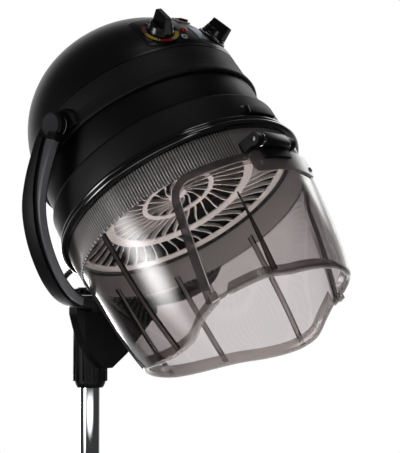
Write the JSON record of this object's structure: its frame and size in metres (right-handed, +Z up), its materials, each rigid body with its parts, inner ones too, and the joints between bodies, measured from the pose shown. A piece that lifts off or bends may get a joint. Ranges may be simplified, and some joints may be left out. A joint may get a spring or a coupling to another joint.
{
  "type": "hood hair dryer",
  "caption": "Salon hood hair dryer head: tilting black hood with smoked skirt and lift-up front visor, on a swivelling fork over a chrome stand tube.",
  "frame": {"origin": "middle of the stand tube's lower end, on the underside of its end plug", "axes": "+Z up along the stand tube, -Y towards the front of the hood (its visor), +X to the sitter's left"},
  "size_m": [0.3944, 0.4574, 0.6283],
  "materials": {
    "chrome_tube": "polished",
    "black_nylon": "fine texture",
    "white_nylon": "satin",
    "gloss_black": "glossy",
    "matte_black": "satin",
    "grey_trim": "satin",
    "steel": "plated",
    "brushed_label": "satin foil",
    "smoked_plastic": "clear smoked acrylic",
    "beige_grille": "satin",
    "white_trim": "printed",
    "red_plastic": "glossy, lit",
    "heater_alloy": "heat tinted",
    "cable_jacket": "ribbed"
  },
  "bodies": {
    "stand": {"pole_tube": "chrome_tube", "pole_end_plug": "black_nylon", "pole_top_bush": "white_nylon"},
    "fork": {"pole_socket": "gloss_black", "yoke_hub": "gloss_black", "cable_clamp": "black_nylon", "yoke_arm_left": "gloss_black", "yoke_arm_right": "gloss_black", "arm_cover_left": "grey_trim", "arm_cover_right": "grey_trim", "friction_washer_left": "white_nylon", "friction_washer_right": "white_nylon", "pivot_bolt_left": "steel", "pivot_bolt_right": "steel", "pivot_cap_left": "grey_trim", "pivot_cap_right": "grey_trim", "link_cable": "cable_jacket"},
    "hood": {"hinge_pin": "chrome_tube", "cable_gland": "black_nylon", "heater_post_1": "white_nylon", "heater_post_2": "white_nylon", "heater_post_3": "white_nylon", "pivot_boss_left": "gloss_black", "pivot_boss_right": "gloss_black", "middle_band": "gloss_black", "dome": "gloss_black", "rim_ring": "gloss_black", "visor_catch": "gloss_black", "hinge_knuckle_left": "gloss_black", "hinge_knuckle_right": "gloss_black", "lower_band": "matte_black", "cap_band": "matte_black", "control_panel": "matte_black", "rocker_housing": "matte_black", "timer_mechanism": "grey_trim", "heat_mechanism": "grey_trim", "air_baffle": "steel", "thermostat": "steel", "motor": "steel", "inner_frame": "steel", "label_plate": "brushed_label", "rear_skirt": "smoked_plastic", "inner_grille": "beige_grille", "timer_dial": "white_trim", "heat_dial": "white_trim", "rocker_frame": "white_trim", "heat_lamp": "white_trim", "pilot_lamp": "red_plastic", "heater_coil": "heater_alloy"},
    "visor": {"front_visor": "smoked_plastic", "hinge_plate": "smoked_plastic", "visor_screw_left": "chrome_tube", "visor_screw_right": "chrome_tube", "rim_clip_left": "black_nylon", "rim_clip_right": "black_nylon", "hinge_barrel": "gloss_black"},
    "timer_knob": {"timer_knob": "black_nylon"},
    "heat_knob": {"heat_knob": "black_nylon"},
    "rocker": {"rocker_switch": "red_plastic"},
    "fan": {"fan": "grey_trim"}
  },
  "joints": [
    {"name": "fork_swivel", "type": "hinge", "parent": "stand", "child": "fork", "pos_m": [0, 0, 0.2], "axis": [0, 0, 1], "range_deg": [-170, 170]},
    {"name": "hood_tilt", "type": "hinge", "parent": "fork", "child": "hood", "pos_m": [0, -0.10403, 0.46248], "axis": [-1, 0, 0], "range_deg": [-3, 30], "deforming": ["link_cable"]},
    {"name": "visor_lift", "type": "hinge", "parent": "hood", "child": "visor", "pos_m": [0, -0.33023, 0.43884], "axis": [-1, 0, 0], "range_deg": [0, 95]},
    {"name": "timer_turn", "type": "hinge", "parent": "hood", "child": "timer_knob", "pos_m": [-0.06451, -0.18252, 0.58744], "axis": [-0.4102, -0.5393, 0.7355], "range_deg": [0, 300]},
    {"name": "heat_turn", "type": "hinge", "parent": "hood", "child": "heat_knob", "pos_m": [0.03719, -0.18731, 0.59555], "axis": [0.2364, -0.5695, 0.7873], "range_deg": [0, 270]},
    {"name": "rocker_tilt", "type": "hinge", "parent": "hood", "child": "rocker", "pos_m": [0, -0.16422, 0.6162], "axis": [1, 0, 0], "range_deg": [0, 14]},
    {"name": "fan_spin", "type": "hinge", "parent": "hood", "child": "fan", "pos_m": [0, -0.16715, 0.36996], "axis": [0, 0.5635, 0.8261], "continuous": true}
  ]
}
